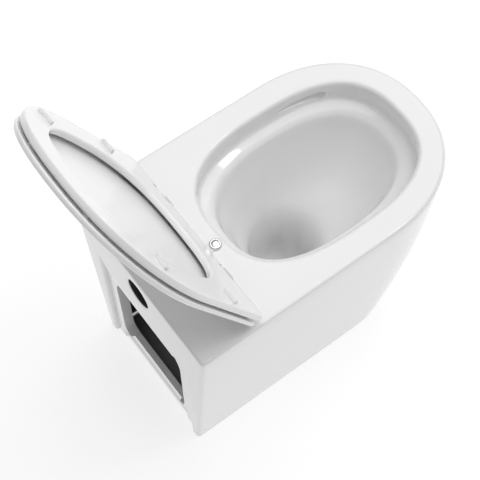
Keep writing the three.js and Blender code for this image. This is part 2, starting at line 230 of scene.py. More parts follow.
def roundedRect(x0, x1, z0, z1, topCorner, grow, count=64, lowCorner=None):
    # A rounded rectangle as points of X and Z, the same number on every arc.
    lowCorner = topCorner if lowCorner is None else lowCorner
    quarter = np.linspace(0, math.pi / 2, count // 4)
    points = []
    for k, (cx, cz) in enumerate(((x1, z1), (x0, z1), (x0, z0), (x1, z0))):
        corner = topCorner if k < 2 else lowCorner
        signX, signZ = (1, -1, -1, 1)[k], (1, 1, -1, -1)[k]
        angle = quarter + k * math.pi / 2
        points.append(np.stack([cx - signX * corner + (corner + grow) * np.cos(angle),
                                cz - signZ * corner + (corner + grow) * np.sin(angle)], 1))
    return np.concatenate(points)


def flaredCutter(name, outline, outside, inside, flare, steps=6, shadedBareFrom=None):
    # A cutter along Y whose mouth opens out in a round edge; outline(grow) gives its X and Z.
    rings = []
    for back, grow in [(outside + 0.004, flare)] + [
            (outside - flare * (1 - math.cos(a)), flare * (1 - math.sin(a)))
            for a in np.linspace(0, math.pi / 2, steps + 1)] + [(inside, 0)]:
        ring = outline(grow)
        rings.append(np.stack([ring[:, 0], np.full(len(ring), back), ring[:, 1]], 1))
    return gridPiece(name, rings, shadedBareFrom=shadedBareFrom)


def nodeIn(tree, kind, place=(0, 0), **settings):
    node = tree.nodes.new(kind)
    node.location = place
    for name, value in settings.items():
        setattr(node, name, value)
    return node


def newMaterial(name, color, roughness, metallic=0.0):
    material = bpy.data.materials.new(name)
    material.use_nodes = True
    tree = material.node_tree
    shader = tree.nodes["Principled BSDF"]
    shader.inputs["Base Color"].default_value = (*color, 1)
    shader.inputs["Roughness"].default_value = roughness
    shader.inputs["Metallic"].default_value = metallic
    place = nodeIn(tree, "ShaderNodeTexCoord", (-1200, 0))
    return material, tree, shader, place.outputs["Object"]


def noiseOf(tree, where, scale, detail=3.0, roughness=0.5, place=(-900, 0)):
    noise = nodeIn(tree, "ShaderNodeTexNoise", place)
    noise.inputs["Scale"].default_value = scale
    noise.inputs["Detail"].default_value = detail
    noise.inputs["Roughness"].default_value = roughness
    tree.links.new(where, noise.inputs["Vector"])
    return noise.outputs["Fac"]


def rampOf(tree, value, stops, place=(-600, 0)):
    ramp = nodeIn(tree, "ShaderNodeValToRGB", place)
    ramp.color_ramp.elements[0].position = stops[0][0]
    ramp.color_ramp.elements[0].color = (*stops[0][1], 1)
    ramp.color_ramp.elements[1].position = stops[-1][0]
    ramp.color_ramp.elements[1].color = (*stops[-1][1], 1)
    for position, color in stops[1:-1]:
        ramp.color_ramp.elements.new(position).color = (*color, 1)
    tree.links.new(value, ramp.inputs["Fac"])
    return ramp.outputs["Color"]


def spanOf(tree, value, low, high, outLow, outHigh, place=(-600, -300)):
    span = nodeIn(tree, "ShaderNodeMapRange", place)
    for name, number in (("From Min", low), ("From Max", high),
                         ("To Min", outLow), ("To Max", outHigh)):
        span.inputs[name].default_value = number
    tree.links.new(value, span.inputs["Value"])
    return span.outputs["Result"]


def mathOf(tree, operation, a, b, place=(-600, -500)):
    node = nodeIn(tree, "ShaderNodeMath", place, operation=operation)
    for socket, value in zip(node.inputs, (a, b)):
        if isinstance(value, (int, float)):
            socket.default_value = value
        else:
            tree.links.new(value, socket)
    return node.outputs[0]


def mixOf(tree, factor, a, b, place=(-300, 0)):
    mix = nodeIn(tree, "ShaderNodeMix", place, data_type="RGBA")
    tree.links.new(factor, mix.inputs[0])
    for socket, value in ((mix.inputs[6], a), (mix.inputs[7], b)):
        if isinstance(value, tuple):
            socket.default_value = (*value, 1)
        else:
            tree.links.new(value, socket)
    return mix.outputs[2]


def bumpOf(tree, shader, height, strength, distance, place=(-300, -600)):
    bump = nodeIn(tree, "ShaderNodeBump", place)
    bump.inputs["Strength"].default_value = strength
    bump.inputs["Distance"].default_value = distance
    tree.links.new(height, bump.inputs["Height"])
    tree.links.new(bump.outputs["Normal"], shader.inputs["Normal"])


# The two clay colours are bare clay painted near black, as painted shade inside the pan's
# hollow.
china = {
    "glazeLight": (0.87, 0.868, 0.87), "glazeDeep": (0.85, 0.848, 0.85),
    "shadedBareClay": (0.075, 0.062, 0.054), "deepShadeClay": (0.03, 0.025, 0.022),
    "roughness": 0.07, "clayRoughness": 0.85, "coat": 0.12, "coatRoughness": 0.04,
    "cloudScale": 3.5, "grainScale": 420, "rippleScale": 26, "ripple": 0.35,
    "bumpStrength": 0.25, "bumpHeight": 0.0006,
}


def glazedChina():
    material, tree, shader, where = newMaterial("glazed_china", china["glazeLight"],
                                                china["roughness"])
    cloud = noiseOf(tree, where, china["cloudScale"], 4, place=(-900, 200))
    glaze = rampOf(tree, cloud, [(0.3, china["glazeDeep"]), (0.7, china["glazeLight"])],
                   (-650, 200))
    # Bare clay with a random grain, kept near black as painted shade.
    grain = noiseOf(tree, where, china["grainScale"], 3, 0.7, (-900, -100))
    shadedClay = rampOf(tree, grain, [(0.3, china["deepShadeClay"]), (0.75, china["shadedBareClay"])],
                  (-650, -100))
    # The casting is bare inside, and its bare clay is coloured near black as painted shade for
    # the dark hollow; the mask is painted on the mesh and the glaze's end wavers.
    bareShade = nodeIn(tree, "ShaderNodeAttribute", (-900, 500), attribute_name="shadedBareClay")
    edge = mathOf(tree, "ADD", bareShade.outputs["Fac"],
                  spanOf(tree, cloud, 0.3, 0.7, -0.08, 0.08, (-650, 700)), (-450, 600))
    isBareInShade = spanOf(tree, edge, 0.4, 0.6, 0, 1, (-250, 600))
    tree.links.new(mixOf(tree, isBareInShade, glaze, shadedClay, (-300, 200)), shader.inputs["Base Color"])
    rough = spanOf(tree, isBareInShade, 0, 1, china["roughness"], china["clayRoughness"],
                   (-300, -200))
    tree.links.new(rough, shader.inputs["Roughness"])
    ripple = noiseOf(tree, where, china["rippleScale"], 2, place=(-900, -400))
    waves = mathOf(tree, "MULTIPLY", ripple, china["ripple"], (-650, -400))
    grit = mathOf(tree, "MULTIPLY", grain, isBareInShade, (-650, -700))
    height = mathOf(tree, "ADD", waves, grit, (-450, -500))
    bumpOf(tree, shader, height, china["bumpStrength"], china["bumpHeight"])
    shader.inputs["Coat Weight"].default_value = china["coat"]
    shader.inputs["Coat Roughness"].default_value = china["coatRoughness"]
    return material


def mouldedPlastic(name, color, roughness, coat):
    material, tree, shader, where = newMaterial(name, color, roughness)
    cloud = noiseOf(tree, where, 5, 3, place=(-900, 200))
    darker = tuple(c * 0.975 for c in color)
    tree.links.new(rampOf(tree, cloud, [(0.3, darker), (0.7, color)], (-650, 200)),
                   shader.inputs["Base Color"])
    fine = noiseOf(tree, where, 900, 2, 0.6, (-900, -200))
    tree.links.new(spanOf(tree, cloud, 0.3, 0.7, roughness - 0.03, roughness + 0.03),
                   shader.inputs["Roughness"])
    bumpOf(tree, shader, fine, 0.06, 0.0003)
    shader.inputs["Coat Weight"].default_value = coat
    shader.inputs["Coat Roughness"].default_value = 0.06
    return material


def softRubber(name, color):
    material, tree, shader, where = newMaterial(name, color, 0.65)
    speck = noiseOf(tree, where, 1400, 3, 0.7, (-900, 200))
    lighter = tuple(min(c * 1.12 + 0.004, 1) for c in color)
    tree.links.new(rampOf(tree, speck, [(0.35, color), (0.7, lighter)], (-650, 200)),
                   shader.inputs["Base Color"])
    tree.links.new(spanOf(tree, speck, 0.3, 0.7, 0.58, 0.72), shader.inputs["Roughness"])
    bumpOf(tree, shader, speck, 0.2, 0.0003)
    return material


def platedMetal(name, color, roughness, brushed):
    material, tree, shader, where = newMaterial(name, color, roughness, 1.0)
    stretch = nodeIn(tree, "ShaderNodeMapping", (-1050, 0))
    stretch.inputs["Scale"].default_value = (40 if brushed else 1, 1, 1)
    tree.links.new(where, stretch.inputs["Vector"])
    marks = noiseOf(tree, stretch.outputs["Vector"], 260, 4, 0.6, (-850, 0))
    dim = tuple(c * 0.86 for c in color)
    tree.links.new(rampOf(tree, marks, [(0.3, dim), (0.65, color)], (-600, 200)),
                   shader.inputs["Base Color"])
    tree.links.new(spanOf(tree, marks, 0.3, 0.7, roughness * 0.7, roughness * 1.5),
                   shader.inputs["Roughness"])
    bumpOf(tree, shader, marks, 0.08 if brushed else 0.02, 0.0002)
    return material


finishes = {
    "seatColor": (0.885, 0.885, 0.885), "seatRoughness": 0.22, "seatCoat": 0.2,
    "barColor": (0.80, 0.805, 0.81), "barRoughness": 0.34, "barCoat": 0.0,
    "bumperColor": (0.74, 0.745, 0.75), "sleeveColor": (0.022, 0.022, 0.024),
    "chromeColor": (0.86, 0.87, 0.88), "chromeRoughness": 0.07,
    "steelColor": (0.62, 0.62, 0.63), "steelRoughness": 0.28,
}

chinaGlaze = glazedChina()
seatPlastic = mouldedPlastic("seat_plastic", finishes["seatColor"],
                             finishes["seatRoughness"], finishes["seatCoat"])
barPlastic = mouldedPlastic("hinge_bar_plastic", finishes["barColor"],
                            finishes["barRoughness"], finishes["barCoat"])
bumperRubber = softRubber("bumper_rubber", finishes["bumperColor"])
sleeveRubber = softRubber("sleeve_rubber", finishes["sleeveColor"])
chromePlate = platedMetal("chrome_plate", finishes["chromeColor"],
                          finishes["chromeRoughness"], False)
brushedSteel = platedMetal("brushed_steel", finishes["steelColor"],
                           finishes["steelRoughness"], True)
print("materials made")


pan = {
    "floorHalfWidth": 0.146, "floorLength": 0.515, "length": 0.585, "halfWidth": 0.18,
    "noseRun": 0.206, "noseRunLoss": 0.060, "noseExponent": 2.2,  # the round front
    "wall": 0.012, "deckThickness": 0.016, "rearWall": 0.026, "cornerRadius": 0.007,
    "sideEdge": 0.005, "frontEdge": 0.009,  # edge radii, which blend along these two
    "edgeBlendFrom": 0.30, "edgeBlendOver": 0.24,
    "lipRadius": 0.008, "mouthHalfWidth": 0.132, "mouthRear": 0.155, "mouthFront": 0.536,
    "mouthExponent": 2.65,
    "shelfUnderside": 0.372, "sumpUnderside": 0.064, "sumpCurve": 0.006,
    "openingHalfWidth": 0.096, "openingLow": 0.040, "openingHigh": 0.280,
    "openingTopCorner": 0.056, "openingLowCorner": 0.026, "openingDepth": 0.030,
    "openingEdge": 0.006,
    "recessDepth": 0.007, "crossbarSetBack": 0.014, "crossbarEdge": 0.008,
    "inletRadius": 0.0275, "inletHeight": 0.380, "inletDepth": 0.130, "inletEdge": 0.0025,
    "pipeWall": 0.009, "outletRadius": 0.042, "trapMouthRadius": 0.033,
    "scoopHeight": 0.399, "scoopStart": 0.004, "scoopRadius": 0.0115,
    "scoopPath": [(0.385, 0.1310), (0.415, 0.1280), (0.442, 0.1225), (0.464, 0.1155)],
}

# Height, half width, rear and front distance, and exponent, from the mouth to the sump.
bowlLevels = [
    (0.422, 0.132, 0.155, 0.536, 2.65), (0.410, 0.132, 0.155, 0.536, 2.65),
    (0.396, 0.1325, 0.1545, 0.5365, 2.65), (0.390, 0.1315, 0.1555, 0.5355, 2.65),
    (0.3865, 0.128, 0.159, 0.532, 2.64), (0.3835, 0.122, 0.165, 0.526, 2.6),
    (0.3795, 0.114, 0.173, 0.518, 2.55), (0.374, 0.1085, 0.1785, 0.5125, 2.5),
    (0.364, 0.1055, 0.182, 0.508, 2.46), (0.340, 0.101, 0.188, 0.498, 2.4),
    (0.300, 0.091, 0.202, 0.474, 2.3), (0.265, 0.082, 0.215, 0.444, 2.2),
    (0.235, 0.072, 0.229, 0.406, 2.1), (0.210, 0.064, 0.237, 0.378, 2.0),
    (0.170, 0.057, 0.242, 0.360, 2.0), (0.110, 0.050, 0.248, 0.350, 2.0),
    (0.084, 0.039, 0.260, 0.337, 2.0), (0.0745, 0.018, 0.280, 0.316, 2.0),
]
belowShelf = 9  # the first of these levels that is under the shelf


def skirtOutline(z, wall=0.0, rear=0.0):
    # The skirt narrows evenly to the floor, and its front curves in more the lower it is.
    drop = max(1 - z / topZ, 0)
    length = pan["length"] - (pan["length"] - pan["floorLength"]) * drop ** 2.3
    half = pan["halfWidth"] - (pan["halfWidth"] - pan["floorHalfWidth"]) * drop
    run = pan["noseRun"] - pan["noseRunLoss"] * drop - wall
    corner = max(pan["cornerRadius"] - wall, 0.001)
    return squareBackOutline(half - wall, rear, length - wall, run,
                             pan["noseExponent"] + 0.2 * drop, corner, z)


def topEdgeRadius(ring):
    # The top edge is softer round the front than along the sides.
    forward = np.clip((rearY - ring[:, 1] - pan["edgeBlendFrom"]) / pan["edgeBlendOver"],
                      0, 1)
    blend = forward * forward * (3 - 2 * forward)
    return pan["sideEdge"] + (pan["frontEdge"] - pan["sideEdge"]) * blend


def mouthOutline(grow, z):
    return roundOutline(pan["mouthHalfWidth"] + grow, pan["mouthRear"] - grow,
                        pan["mouthFront"] + grow, pan["mouthExponent"], z)


def undersideRows():
    # From under the sump up round the bowl, then down inside the skirt to its foot.
    wall = pan["wall"]
    grow = wall - 0.001
    under = [roundOutline(half + grow, rear - grow, front + grow, exponent, z)
             for z, half, rear, front, exponent in bowlLevels[belowShelf:-1]]
    footHalf, footRear, footFront = bowlLevels[-2][1:4]
    curve = pan["sumpCurve"]
    under.append(roundOutline(footHalf + curve, footRear - curve, footFront + curve, 2.0,
                              pan["sumpUnderside"]))
    deckUnder = topZ - pan["deckThickness"]
    rows = under[::-1]
    for z in (pan["shelfUnderside"], deckUnder):
        rows.append(mouthOutline(wall, z))
    for z in (deckUnder, 0.33, 0.22, 0.11, 0.0):
        rows.append(skirtOutline(z, wall, pan["rearWall"]))
    return rows


def panSkin():
    # One closed skin: up the skirt, over the rim, down the bowl and back to the foot.
    rows = [skirtOutline(z) for z in np.linspace(0, topZ - pan["frontEdge"], 16)[:-1]]
    top = skirtOutline(topZ)
    radius = topEdgeRadius(top)
    for angle in np.linspace(0, math.pi / 2, 9):
        ring = inset(top, radius * (1 - math.cos(angle)))
        ring[:, 2] = topZ - radius * (1 - math.sin(angle))
        rows.append(ring)
    rim, lip = rows[-1], pan["lipRadius"]
    lipStart = mouthOutline(lip, topZ)
    for share in np.linspace(0, 1, 7)[1:-1]:
        rows.append(rim * (1 - share) + lipStart * share)
    for angle in np.linspace(0, math.pi / 2, 8)[:-1]:
        rows.append(mouthOutline(lip * (1 - math.sin(angle)),
                                 topZ - lip * (1 - math.cos(angle))))
    for z, half, rear, front, exponent in throughLevels(bowlLevels, 4):
        rows.append(roundOutline(half, rear, front, exponent, z))
    # The underside rows are bare clay, coloured near black as painted shade.
    shadedBareFrom = len(rows)
    rows += undersideRows()
    return gridPiece("pan_china", rows, ringClosed=True, shadedBareFrom=shadedBareFrom)


# A round pipe along a curve, by Geometry Nodes.
def pipeTree():
    tree = bpy.data.node_groups.new("castPipe", "GeometryNodeTree")
    face = tree.interface
    face.new_socket("Route", in_out="INPUT", socket_type="NodeSocketGeometry")
    face.new_socket("Start Radius", in_out="INPUT", socket_type="NodeSocketFloat")
    face.new_socket("End Radius", in_out="INPUT", socket_type="NodeSocketFloat")
    face.new_socket("Steps", in_out="INPUT", socket_type="NodeSocketInt")
    face.new_socket("Sides", in_out="INPUT", socket_type="NodeSocketInt")
    face.new_socket("Material", in_out="INPUT", socket_type="NodeSocketMaterial")
    face.new_socket("Pipe", in_out="OUTPUT", socket_type="NodeSocketGeometry")
    start = nodeIn(tree, "NodeGroupInput", (-800, 0))
    end = nodeIn(tree, "NodeGroupOutput", (800, 0))
    even = nodeIn(tree, "GeometryNodeResampleCurve", (-500, 0))
    along = nodeIn(tree, "GeometryNodeSplineParameter", (-700, -300))
    width = nodeIn(tree, "ShaderNodeMapRange", (-450, -300))
    section = nodeIn(tree, "GeometryNodeCurvePrimitiveCircle", (-200, -300))
    sweep = nodeIn(tree, "GeometryNodeCurveToMesh", (0, 0))
    solid = nodeIn(tree, "GeometryNodeRealizeInstances", (300, 0))
    paint = nodeIn(tree, "GeometryNodeSetMaterial", (550, 0))
    section.inputs["Radius"].default_value = 1.0
    sweep.inputs["Fill Caps"].default_value = True
    link = tree.links.new
    link(start.outputs["Route"], even.inputs["Curve"])
    link(start.outputs["Steps"], even.inputs["Count"])
    link(along.outputs["Factor"], width.inputs["Value"])
    link(start.outputs["Start Radius"], width.inputs["To Min"])
    link(start.outputs["End Radius"], width.inputs["To Max"])
    link(start.outputs["Sides"], section.inputs["Resolution"])
    link(even.outputs["Curve"], sweep.inputs["Curve"])
    link(section.outputs["Curve"], sweep.inputs["Profile Curve"])
    link(width.outputs["Result"], sweep.inputs["Scale"])
    link(sweep.outputs["Mesh"], solid.inputs["Geometry"])
    link(solid.outputs["Geometry"], paint.inputs["Geometry"])
    link(start.outputs["Material"], paint.inputs["Material"])
    link(paint.outputs["Geometry"], end.inputs["Pipe"])
    return tree


def setInputs(modifier, values):
    for socket in modifier.node_group.interface.items_tree:
        if socket.in_out == "INPUT" and socket.name in values:
            modifier[socket.identifier] = values[socket.name]


castPipe = pipeTree()


def markBareShaded(piece):
    # Every face is marked as bare clay, coloured near black as painted shade.
    mask = piece.data.attributes.new("shadedBareClay", "FLOAT", "FACE")
    mask.data.foreach_set("value", [1.0] * len(piece.data.polygons))
    return piece


def pipe(name, route, startRadius, endRadius, steps, sides=40):
    curve = bpy.data.curves.new(name, "CURVE")
    curve.dimensions = "3D"
    spline = curve.splines.new("BEZIER")
    spline.bezier_points.add(len(route) - 1)
    for point, place in zip(spline.bezier_points, route):
        point.co = place
        point.handle_left_type = point.handle_right_type = "AUTO"
    holder = bpy.data.objects.new(name + "_route", curve)
    bpy.context.scene.collection.objects.link(holder)
    sweep = holder.modifiers.new("sweep", "NODES")
    sweep.node_group = castPipe
    setInputs(sweep, {"Start Radius": startRadius, "End Radius": endRadius, "Steps": steps,
                      "Sides": sides, "Material": chinaGlaze})
    graph = bpy.context.evaluated_depsgraph_get()
    graph.update()
    mesh = bpy.data.meshes.new_from_object(holder.evaluated_get(graph))
    bpy.data.objects.remove(holder)
    piece = bpy.data.objects.new(name, mesh)
    bpy.context.scene.collection.objects.link(piece)
    return facedOut(piece)


def trapRoute(overrun=0.0):
    # Out of the sump, up to the weir and down to a level outlet, as set-back and height.
    stops = [(0.297, 0.110), (0.254, 0.110), (0.216, 0.148), (0.188, 0.203),
             (0.150, 0.234), (0.110, 0.212), (0.084, 0.187), (0.062, 0.1805),
             (0.046 - overrun, 0.180)]
    return [(0, rearY - back, z) for back, z in stops]


def bowlVoid(grow):
    # The sump's space, to trim the trap back to the bowl's wall.
    rows = [roundOutline(half + grow, rear - grow, front + grow, exponent, z - grow)
            for z, half, rear, front, exponent in bowlLevels[belowShelf:][::-1]]
    return gridPiece("bowl_void", rows)


def flushScoop(side):
    # The flush runs forward along a groove under the rim that ends in a round pocket.
    places = []
    for forward, across in pan["scoopPath"]:
        places.append((side * across, rearY - forward, pan["scoopHeight"]))
    groove = pipe("flush_scoop", places, pan["scoopStart"], pan["scoopRadius"], 24, 40)
    tip = bpy.data.objects.new("scoop_tip", bpy.data.meshes.new("scoop_tip"))
    bpy.context.scene.collection.objects.link(tip)
    ball = bmesh.new()
    bmesh.ops.create_uvsphere(ball, u_segments=40, v_segments=24, radius=pan["scoopRadius"])
    ball.to_mesh(tip.data)
    ball.free()
    tip.data.transform(Matrix.Translation(places[-1]))
    return joinOrCut(groove, [tip], "UNION")


def openingCutter():
    half, low, high = pan["openingHalfWidth"], pan["openingLow"], pan["openingHigh"]

    def outline(grow):
        return roundedRect(-half, half, low, high, pan["openingTopCorner"], grow, 96,
                           pan["openingLowCorner"])
    return flaredCutter("service_opening", outline, rearY, rearY - pan["openingDepth"],
                        pan["openingEdge"])


def recessCutter():
    # Beside the opening the face is set back, with a slanted top corner on each side.
    corners = [(-0.124, -0.02), (-0.121, 0.320), (-0.082, 0.286), (0.082, 0.286),
               (0.121, 0.320), (0.124, -0.02)]

    def outline(grow):
        ring = []
        for x, z in corners:
            ring.append((x + math.copysign(grow, x), z + (grow if z > 0 else 0)))
        return np.array(ring)
    return flaredCutter("recess", outline, rearY, rearY - pan["recessDepth"],
                        pan["recessDepth"] - 0.001, 5)


def crossbarCutter():
    # Below the opening the wall is set back, so that it leaves a round-topped bar.
    def outline(grow):
        return roundedRect(-0.101, 0.101, -0.04, pan["openingLow"] + 0.001, 0.001, grow, 16)
    return flaredCutter("crossbar_front", outline, rearY - 0.004,
                        rearY - pan["crossbarSetBack"], pan["crossbarEdge"], 5)


def inletCutter():
    def outline(grow):
        radius = pan["inletRadius"] + grow
        return np.stack([radius * np.cos(turns[::4]),
                         pan["inletHeight"] + radius * np.sin(turns[::4])], 1)
    # The glaze stops at the fifth row of its rounded edge, and from there in the bore is bare
    # clay coloured near black as painted shade.
    return flaredCutter("inlet_bore", outline, rearY, rearY - pan["inletDepth"],
                        pan["inletEdge"], shadedBareFrom=5)


def buildPan():
    body = panSkin()
    print("pan skin", len(body.data.polygons))
    pipeWall, inletOutside = pan["pipeWall"], pan["inletRadius"] + pan["pipeWall"]
    # The trap and the inlet boss are bare clay, coloured near black as painted shade.
    trap = markBareShaded(pipe("trap", trapRoute(), pan["trapMouthRadius"] + pipeWall,
                         pan["outletRadius"] + pipeWall, 40))
    joinOrCut(trap, [bowlVoid(0.004)], "DIFFERENCE")
    inletPlaces = [(0, rearY - back, pan["inletHeight"]) for back in (0.150, 0.08, 0.010)]
    boss = markBareShaded(pipe("inlet_boss", inletPlaces, inletOutside, inletOutside, 4, 64))
    joinOrCut(body, [trap, boss], "UNION")
    cutters = [
        pipe("trap_bore", trapRoute(0.004), pan["trapMouthRadius"], pan["outletRadius"],
             40),
        inletCutter(),
        recessCutter(),
        openingCutter(),
        crossbarCutter(),
    ]
    cutters += [flushScoop(-1), flushScoop(1)]
    joinOrCut(body, cutters, "DIFFERENCE")
    return body


panPiece = buildPan()
smoothed(panPiece, 32)
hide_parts("pan_body")
finish(panPiece, "pan", chinaGlaze)
print("pan", len(panPiece.data.polygons))


# The seat and lid are modelled closed about the hinge axis, then turned open.
seat = {
    "halfWidth": 0.179, "reach": 0.442, "run": 0.230, "exponent": 2.3, "corner": 0.016,
    "underside": -0.009, "top": 0.003, "knuckle": 0.0065,
    "holeHalfWidth": 0.130, "holeRear": 0.057, "holeFront": 0.392, "holeExponent": 2.6,
    "lowEdge": 0.0026, "topEdge": 0.0045, "holeTopEdge": 0.005, "holeLowEdge": 0.0045,
    "pocketInner": 0.067, "pocketOuter": 0.111,  # the gaps in the knuckle for the posts
}
lidDesign = {
    "underside": 0.0072, "top": 0.0162, "lowEdge": 0.002, "topEdge": 0.0055,
    "armInner": 0.093, "armOuter": 0.109, "dishDepth": 0.0008,
}

raised = Matrix.Translation((0, axisY, axisZ)) @ Matrix.Rotation(-openAngle, 4, "X")


def seatOutline(z, back=0.0):
    ring = squareBackOutline(seat["halfWidth"], 0.0, seat["reach"], seat["run"],
                             seat["exponent"], seat["corner"], z, base=0.0)
    return inset(ring, back)


def holeOutline(z, grow=0.0):
    centre = -(seat["holeRear"] + seat["holeFront"]) / 2
    half = (seat["holeFront"] - seat["holeRear"]) / 2 + grow
    x = (seat["holeHalfWidth"] + grow) * power(np.cos(turns), 2 / seat["holeExponent"])
    y = centre + half * power(np.sin(turns), 2 / seat["holeExponent"])
    return np.stack([x, y, np.full_like(x, z)], 1)


def edgeRows(low, high, lowRadius, highRadius, outline, steps=6):
    # The rounded outer edge of a plate, from its underside to its top.
    rows = []
    for angle in np.linspace(-math.pi / 2, 0, steps):
        rows.append(outline(low + lowRadius * (1 + math.sin(angle)),
                            lowRadius * (1 - math.cos(angle))))
    for angle in np.linspace(0, math.pi / 2, steps + 2):
        rows.append(outline(high - highRadius * (1 - math.sin(angle)),
                            highRadius * (1 - math.cos(angle))))
    return rows


def barAlongX(name, x0, x1, radius, sides=48):
    rings = []
    for x in (x0, x1):
        angle = np.linspace(0, 2 * math.pi, sides, endpoint=False)
        rings.append(np.stack([np.full(sides, x), radius * np.cos(angle),
                               radius * np.sin(angle)], 1))
    return gridPiece(name, rings)


def blockOf(name, low, high):
    rings = [np.array([(low[0], low[1], z), (high[0], low[1], z),
                       (high[0], high[1], z), (low[0], high[1], z)])
             for z in (low[2], high[2])]
    return gridPiece(name, rings)


def liftUp(piece):
    piece.data.transform(raised)
    return piece


def buildSeatRing():
    low, high = seat["underside"], seat["top"]
    topEdge, lowEdge = seat["holeTopEdge"], seat["holeLowEdge"]
    rows = edgeRows(low, high, seat["lowEdge"], seat["topEdge"], seatOutline)
    outerTop, innerTop = rows[-1], holeOutline(high, topEdge)
    for share in np.linspace(0, 1, 7)[1:-1]:
        rows.append(outerTop * (1 - share) + innerTop * share)
    for angle in np.linspace(math.pi / 2, 0, 7):
        rows.append(holeOutline(high - topEdge * (1 - math.sin(angle)),
                                topEdge * (1 - math.cos(angle))))
    for angle in np.linspace(0, math.pi / 2, 7):
        rows.append(holeOutline(low + lowEdge * (1 - math.sin(angle)),
                                lowEdge * (1 - math.cos(angle))))
    innerLow, outerLow = rows[-1], rows[0]
    for share in np.linspace(0, 1, 5)[1:-1]:
        rows.append(innerLow * (1 - share) + outerLow * share)
    ring = gridPiece("seat_ring_finished", rows, ringClosed=True)
    reach = seat["halfWidth"] - 0.018
    joinOrCut(ring, [barAlongX("knuckle", -reach, reach, seat["knuckle"])], "UNION")
    pockets = []
    for sign in (-1, 1):
        x0, x1 = sorted((sign * seat["pocketInner"], sign * seat["pocketOuter"]))
        pockets.append(blockOf("pocket", (x0, -0.017, -0.03), (x1, 0.02, 0.03)))
    joinOrCut(ring, pockets, "DIFFERENCE")
    return smoothed(liftUp(ring), 40)


def buildLid():
    low, high = lidDesign["underside"], lidDesign["top"]
    rows = edgeRows(low, high, lidDesign["lowEdge"], lidDesign["topEdge"], seatOutline)
    centre = np.array([0, -seat["reach"] * 0.48, 0.0])

    def towardsMiddle(ring, share, z):
        moved = ring * (1 - share) + centre * share
        moved[:, 2] = z
        return moved
    top, under = rows[-1], rows[0]
    crown = [towardsMiddle(top, share, high) for share in np.linspace(0, 0.97, 12)[1:]]
    # The underside is dished, so that a plain border runs round it.
    dish = [(0.10, 0.0), (0.13, 0.125), (0.17, 0.875), (0.2, 1.0), (0.5, 1.0), (0.97, 1.0)]
    dished = [towardsMiddle(under, share, low + depth * lidDesign["dishDepth"])
              for share, depth in dish]
    lid = gridPiece("lid_finished", dished[::-1] + rows + crown)
    for sign in (-1, 1):
        x0, x1 = sorted((sign * lidDesign["armInner"], sign * lidDesign["armOuter"]))
        joinOrCut(lid, [
            barAlongX("lid_knuckle", x0, x1, seat["knuckle"]),
            blockOf("lid_arm", (x0, -seat["knuckle"], 0), (x1, 0.004, low + 0.003)),
        ], "UNION")
    return smoothed(liftUp(lid), 40)


seatPiece = buildSeatRing()
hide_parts("seat_ring")
finish(seatPiece, "seat", seatPlastic)
lidPiece = buildLid()
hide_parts("lid")
finish(lidPiece, "lid", seatPlastic)
print("seat and lid", len(seatPiece.data.polygons), len(lidPiece.data.polygons))


# Pillow-shaped bumpers set out on points, by Geometry Nodes.
def bumperTree():
    tree = bpy.data.node_groups.new("bumpersOnPoints", "GeometryNodeTree")
    face = tree.interface
    face.new_socket("Places", in_out="INPUT", socket_type="NodeSocketGeometry")
    face.new_socket("Size", in_out="INPUT", socket_type="NodeSocketVector")
    face.new_socket("Softness", in_out="INPUT", socket_type="NodeSocketInt")
    face.new_socket("Material", in_out="INPUT", socket_type="NodeSocketMaterial")
    face.new_socket("Bumpers", in_out="OUTPUT", socket_type="NodeSocketGeometry")
    start = nodeIn(tree, "NodeGroupInput", (-900, 0))
    end = nodeIn(tree, "NodeGroupOutput", (900, 0))
    block = nodeIn(tree, "GeometryNodeMeshCube", (-600, -200))
    block.inputs["Vertices X"].default_value = 6
    block.inputs["Vertices Y"].default_value = 5
    block.inputs["Vertices Z"].default_value = 4
    soft = nodeIn(tree, "GeometryNodeSubdivisionSurface", (-350, -200))
    turn = nodeIn(tree, "GeometryNodeInputNamedAttribute", (-350, -500),
                  data_type="FLOAT_VECTOR")
    turn.inputs["Name"].default_value = "turn"
    asTurn = nodeIn(tree, "FunctionNodeEulerToRotation", (-100, -500))
    spread = nodeIn(tree, "GeometryNodeInstanceOnPoints", (100, 0))
    solid = nodeIn(tree, "GeometryNodeRealizeInstances", (350, 0))
    paint = nodeIn(tree, "GeometryNodeSetMaterial", (600, 0))
    link = tree.links.new
    link(start.outputs["Size"], block.inputs["Size"])
    link(block.outputs["Mesh"], soft.inputs["Mesh"])
    link(start.outputs["Softness"], soft.inputs["Level"])
    link(start.outputs["Places"], spread.inputs["Points"])
    link(soft.outputs["Mesh"], spread.inputs["Instance"])
    link(turn.outputs["Attribute"], asTurn.inputs["Euler"])
    link(asTurn.outputs["Rotation"], spread.inputs["Rotation"])
    link(spread.outputs["Instances"], solid.inputs["Geometry"])
    link(solid.outputs["Geometry"], paint.inputs["Geometry"])
    link(start.outputs["Material"], paint.inputs["Material"])
    link(paint.outputs["Geometry"], end.inputs["Bumpers"])
    return tree


bumpersOnPoints = bumperTree()

# Places are the distance across, the distance forward of the hinge, and the turn.
seatBumpers = {
    "size": (0.028, 0.007, 0.0056), "drop": 0.0026,
    "places": [(0.138, 0.328, -18), (0.158, 0.120, 0)],
}
lidBumpers = {
    "size": (0.016, 0.008, 0.0039), "drop": 0.0019,
    "places": [(0.060, 0.417, 0)],
}


